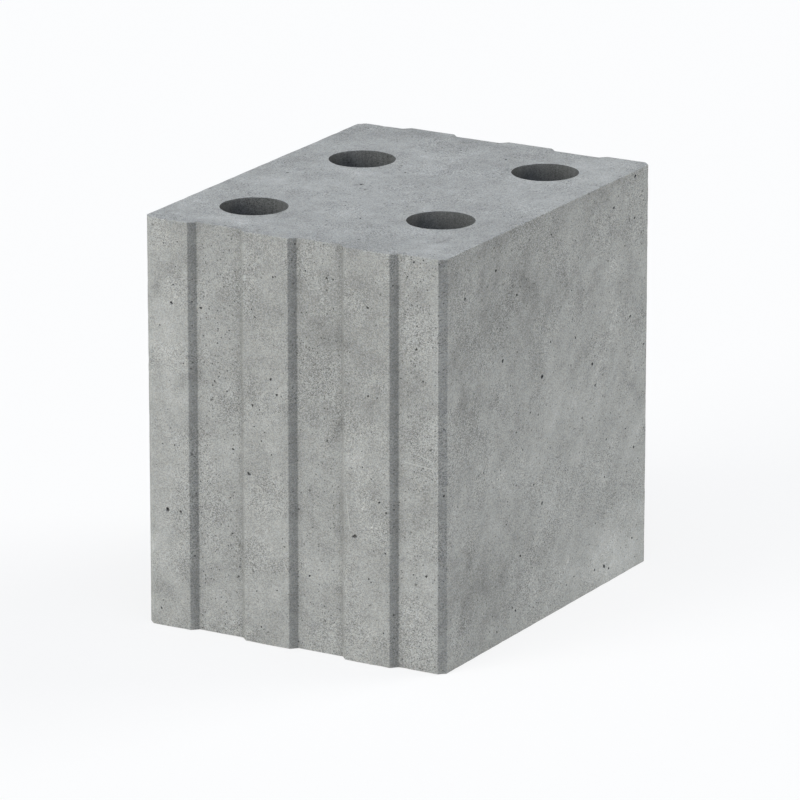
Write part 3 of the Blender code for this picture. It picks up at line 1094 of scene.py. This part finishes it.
# Fewer dark dots where the ducts carry painted shade.
dotted = 1 - smooth_mark * DOTS_SMOOTHED - duct_shade_mark * DOTS_IN_DUCT_SHADE
aslant = Wire.node(tree, "ShaderNodeMapping", {
    "Vector": spot, "Rotation": (-math.pi / 4, 0.0, 0.0), "Scale": (1.0, 1.0, 5.0),
}, vector_type="TEXTURE")
wiped = cloud(7 * MM, 2.0, 0.5, aslant) * smooth_mark
flecks = cloud(1.3 * MM, 1.0, 0.5, moved((0.6, 0.3, 0.0))).step(0.09, 0.20) * scuff_mark
fine_dots = pinholes(2.0 * MM, 0.45 * MM, 0.22, moved((0.0, 0.0, 0.0), GRAIN_STRETCH))
small_dots = pinholes(3.5 * MM, 0.55 * MM, 0.34, moved((0.3, 0.1, 0.6)))
wide_dots = pinholes(10.0 * MM, 0.80 * MM, 0.40, moved((0.5, 0.2, 0.1)))
pale_dots = pinholes(2.6 * MM, 0.45 * MM, 0.25, moved((0.1, 0.7, 0.4), GRAIN_STRETCH))
streak = cloud(1.8 * MM, 2.0, 0.6, moved((0.2, 0.6, 0.0), (1.0, 1.0, 0.05)))

# %% Mix the tone of the concrete
BROAD, PATCHY, MOTTLED, WIPED = 0.30, 0.50, 0.46, 0.22
SANDY, SPECKLED, FLECKED = 0.34, 0.68, 0.60
# Painted shade of pinholes, pores, ducts, inner corners and flanks, and a painted highlight along the outer
# edges, are set in the lines below; the pale dots and duct streaks are the concrete's own grain.
FINE_PINHOLE_SHADE, SMALL_PINHOLE_SHADE, WIDE_PINHOLE_SHADE, PALE_LIGHT = 0.60, 0.70, 0.50, 0.18
PIT_PAINTED_SHADE, DUCT_PAINTED_SHADE, DUCT_STREAKED = 0.72, 0.60, 0.5
EDGE_PAINTED_HIGHLIGHT, EDGE_BAND = 0.09, 0.9 * MM
NOOK_PAINTED_SHADE, NOOK_BAND = 0.13, 5.5 * MM
FLANK_PAINTED_SHADE, FLANK_BAND = 0.08, (7.0 * MM, 5.9 * MM)

tone = 1 + stain_mark + broad * BROAD + patchy * PATCHY + mottle * MOTTLED + wiped * WIPED
tone = tone + (sand * SANDY + speckle * SPECKLED) * grainy + flecks * FLECKED
# Painted shade: the fine, small and wide dots are pinholes too small to model, darkened; the pale dots are
# lighter grains.
tone = tone * (1 - fine_dots * dotted * FINE_PINHOLE_SHADE) * (1 - small_dots * dotted * SMALL_PINHOLE_SHADE)
tone = tone * (1 - wide_dots * WIDE_PINHOLE_SHADE) * (1 + pale_dots * dotted * PALE_LIGHT)
# Painted shade in the pores: darker the deeper a point lies in its pit.
tone = tone * (1 - pit_mark.step(0.0, 0.6) * PIT_PAINTED_SHADE)
# Painted shade inside the ducts, with fine streaks in it.
tone = tone * (1 - duct_shade_mark * DUCT_PAINTED_SHADE) * (1 + duct_shade_mark * streak * DUCT_STREAKED)
# Painted highlight: lighter within a narrow band along each outer edge and duct mouth.
tone = tone * (1 + edge_mark.step(EDGE_BAND, 0.0) * EDGE_PAINTED_HIGHLIGHT)
# Painted shade: darker towards each inner corner of a groove.
tone = tone * (1 - nook_mark.step(NOOK_BAND, 0.0) * NOOK_PAINTED_SHADE)
# Painted shade on the flanks, where an outer edge and an inner corner lie close together.
tone = tone * (1 - (edge_mark + nook_mark).step(*FLANK_BAND) * FLANK_PAINTED_SHADE)
print(len(marks), "marks read,", len(tree.nodes), "nodes in the tone")

# %% [markdown]
# The colour hardly changes from place to place, but it isn't dead: a little iron makes some grains of the
# sand warmer than others. The mean of the two tints is the record's colour. A light rub leaves thin
# scratches, which cut through the grain to a paler tone. The bump takes its heights in millimetres.

# %% Scratch the concrete
SCRATCHES = [
    ((83.3, -123, 131.3), (91.5, -123, 128.8)),
    ((74.0, -123, 125.9), (94.0, -123, 124.0)),
    ((88.0, -123, 102.0), (88.6, -123, 103.0)),
    ((37.0, -127, 101.0), (39.5, -127, 80.0)),
    ((100, -57.8, 99.0), (100, -57.4, 103.5)),
    ((100, 22.0, 21.5), (100, 26.5, 28.5)),
    ((78.0, 4.5, 250), (87.0, 1.0, 250)),
    ((85.0, -5.0, 250), (91.0, -10.5, 250)),
    ((-38.0, 82.0, 250), (-28.0, 81.0, 250)),
    ((-25.0, 72.0, 250), (-2.0, 64.0, 250)),
]
SCRATCH_WIDTH = 0.45 * MM
SCRATCH_SHARE, SCRATCH_TONE = 0.8, 1.40


def vector_math(operation, inputs, output="Vector"):
    """A vector sum, product or length, for which a Math node has no room."""
    return Wire.node(tree, "ShaderNodeVectorMath", inputs, output, operation=operation)


def scratch(start, end):
    """Mask of a thin line from one place to another, in millimetres.

    The share of the way along the line is dot(place - start, line) / dot(line, line), kept between 0 and 1,
    and the distance to the point at that share is compared with the width.
    """
    start, end = np.array(start) * MM, np.array(end) * MM
    line = end - start
    from_start = vector_math("SUBTRACT", {0: spot, 1: tuple(start)})
    share = vector_math("DOT_PRODUCT", {0: from_start, 1: tuple(line / line.dot(line))}, "Value")
    within = share.math("MINIMUM", share.math("MAXIMUM", share, 0.0), 1.0)
    nearest = vector_math("SCALE", {0: tuple(line), "Scale": within})
    away = vector_math("SUBTRACT", {0: from_start, 1: nearest})
    return vector_math("LENGTH", {0: away}, "Value").step(SCRATCH_WIDTH, 0.2 * SCRATCH_WIDTH)


scratched = sum(scratch(start, end) for start, end in SCRATCHES) * SCRATCH_SHARE
tone = tone * (1 - scratched) + (stain_mark + SCRATCH_TONE) * scratched
print(len(SCRATCHES), "scratches laid")

# %% Tint and finish the concrete
CONCRETE_COLOUR = frame["record"]["materials"][0]["base_color"]
WARMTH = np.array([0.028, 0.0, -0.042])
DUCT_SHADE_HIDES_HUE = 0.7
ROUGHNESS, ROUGHNESS_MOTTLED, SPECULAR = 0.9, 0.2, 0.3
SAND_HIGH, SPECKLE_HIGH, FINE_DEEP, SMALL_DEEP, WIDE_DEEP = 0.06, 0.03, 0.08, 0.15, 0.25

warm, cool = ((*(np.array(CONCRETE_COLOUR) * (1 + side * WARMTH)), 1.0) for side in (1, -1))
# Under the painted shade inside the ducts, the grains keep less of their warm or cool tint.
tint = mix_colours(tree, hue * (1 - duct_shade_mark * DUCT_SHADE_HIDES_HUE), cool, warm)
colour = vector_math("SCALE", {0: tint, "Scale": tone})
relief = sand * SAND_HIGH + speckle * SPECKLE_HIGH - fine_dots * FINE_DEEP
relief = relief - small_dots * SMALL_DEEP - wide_dots * WIDE_DEEP
bumped = Wire.node(tree, "ShaderNodeBump", {"Height": relief * MM, "Distance": 1.0})
surface = Wire.node(tree, "ShaderNodeBsdfPrincipled", {
    "Base Color": colour, "Normal": bumped,
    "Roughness": ROUGHNESS + mottle * ROUGHNESS_MOTTLED, "Specular IOR Level": SPECULAR,
})
Wire.node(tree, "ShaderNodeOutputMaterial", {"Surface": surface})
mesh.materials.append(concrete)
print(len(tree.nodes), "nodes in the concrete")

# %% [markdown]
# ## Light
#
# Three large soft lamps light the block. The first stands in front of the head, a little to the left, the
# second beside the plain side, and a weak bluish one hangs overhead. The chamfer and the flanks that turn
# to the camera lie between the first two and get little of either, and that is why they look darker; the
# flanks get painted shade in the material as well. The levels, bearings and tints were found by lighting
# the block with each lamp alone and solving for the mix that gives every face its tone. A sun with a wide
# angle has soft shadows, and at a strength of pi it lights a white face that is turned to it to just white.

# %% Add three soft suns
def soft_sun(name, bearing, elevation, level, softness, colour):
    """A sun at this bearing from +X, anticlockwise, and elevation, that lights to level times white."""
    sun = add_object(name, bpy.data.lights.new(name, "SUN"))
    sun.data.energy = level * math.pi
    sun.data.angle = math.radians(softness)
    sun.data.color = colour
    round_z, above = math.radians(bearing), math.radians(elevation)
    direction = Vector((
        math.cos(round_z) * math.cos(above),
        math.sin(round_z) * math.cos(above),
        math.sin(above),
    ))
    sun.rotation_euler = direction.to_track_quat("Z", "Y").to_euler()
    print(name, "shines from", np.round(direction, 2).tolist())


soft_sun("front_light", -115.0, 15.0, 0.83, 40.0, (1.0, 0.982, 0.91))
soft_sun("side_light", 50.5, 15.0, 0.905, 40.0, (1.0, 0.995, 0.945))
soft_sun("overhead_light", -75.0, 75.0, 0.43, 60.0, (0.80, 0.86, 1.0))

# %% [markdown]
# The sky is a plain gradient, darker at the horizon than overhead. What the camera sees of it is white,
# through the Light Path node, and that adds no light to the block. The floor does the same: other rays meet
# a plain grey, and the camera meets white that keeps a faint shadow.

# %% Add the sky
HORIZON = (0.12, 0.13, 0.14, 1.0)
ZENITH = (0.15, 0.165, 0.185, 1.0)
WHITE = (1.0, 1.0, 1.0, 1.0)


def is_seen(tree):
    """1 for a ray from the camera, or for one that only a mirror or glass has turned."""
    ray = Wire.node(tree, "ShaderNodeLightPath", output="Is Camera Ray")
    turned = ray.math("MAXIMUM", ray.also("Is Glossy Ray"), ray.also("Is Transmission Ray"))
    return ray.math("MAXIMUM", ray, turned)


world = bpy.data.worlds.new("studio")
bpy.context.scene.world = world
sky = fresh_tree(world)
direction = Wire.node(sky, "ShaderNodeTexCoord", output="Generated")
upward = Wire.node(sky, "ShaderNodeSeparateXYZ", {"Vector": direction}, "Z")
gradient = mix_colours(sky, upward, HORIZON, ZENITH)
shown = mix_colours(sky, is_seen(sky), gradient, WHITE)
Wire.node(sky, "ShaderNodeOutputWorld", {
    "Surface": Wire.node(sky, "ShaderNodeBackground", {"Color": shown, "Strength": 1.0}),
})
print(len(sky.nodes), "nodes in the sky")

# %% Add the floor
FLOOR_GREY = (0.40, 0.40, 0.40, 1.0)
FLOOR_WHITE = (0.94, 0.94, 0.94, 1.0)
GLOW_SHARE = 0.78
FLOOR_HALF = 12.0
FLOOR_DROP = 0.1 * MM

floor_paint = bpy.data.materials.new("floor_paint")
paint = fresh_tree(floor_paint)
grey = Wire.node(paint, "ShaderNodeBsdfDiffuse", {"Color": FLOOR_GREY})
pale = Wire.node(paint, "ShaderNodeBsdfDiffuse", {"Color": FLOOR_WHITE})
glow = Wire.node(paint, "ShaderNodeEmission", {"Color": WHITE, "Strength": 1.0})
white = Wire.node(paint, "ShaderNodeMixShader", {0: GLOW_SHARE, 1: pale, 2: glow})
both = Wire.node(paint, "ShaderNodeMixShader", {0: is_seen(paint), 1: grey, 2: white})
Wire.node(paint, "ShaderNodeOutputMaterial", {"Surface": both})

sheet = bpy.data.meshes.new("floor")
sheet.from_pydata(
    [(x * FLOOR_HALF, y * FLOOR_HALF, -FLOOR_DROP) for x, y in ((-1, -1), (1, -1), (1, 1), (-1, 1))],
    [], [(0, 1, 2, 3)])
sheet.materials.append(floor_paint)
floor = add_object("floor", sheet)
print(len(paint.nodes), "nodes in the floor's paint")

# %% [markdown]
# ## Finish
#
# The picture is shown with the plain Standard view, so a colour renders as it is written.

# %% Finish
bpy.context.scene.view_settings.view_transform = "Standard"
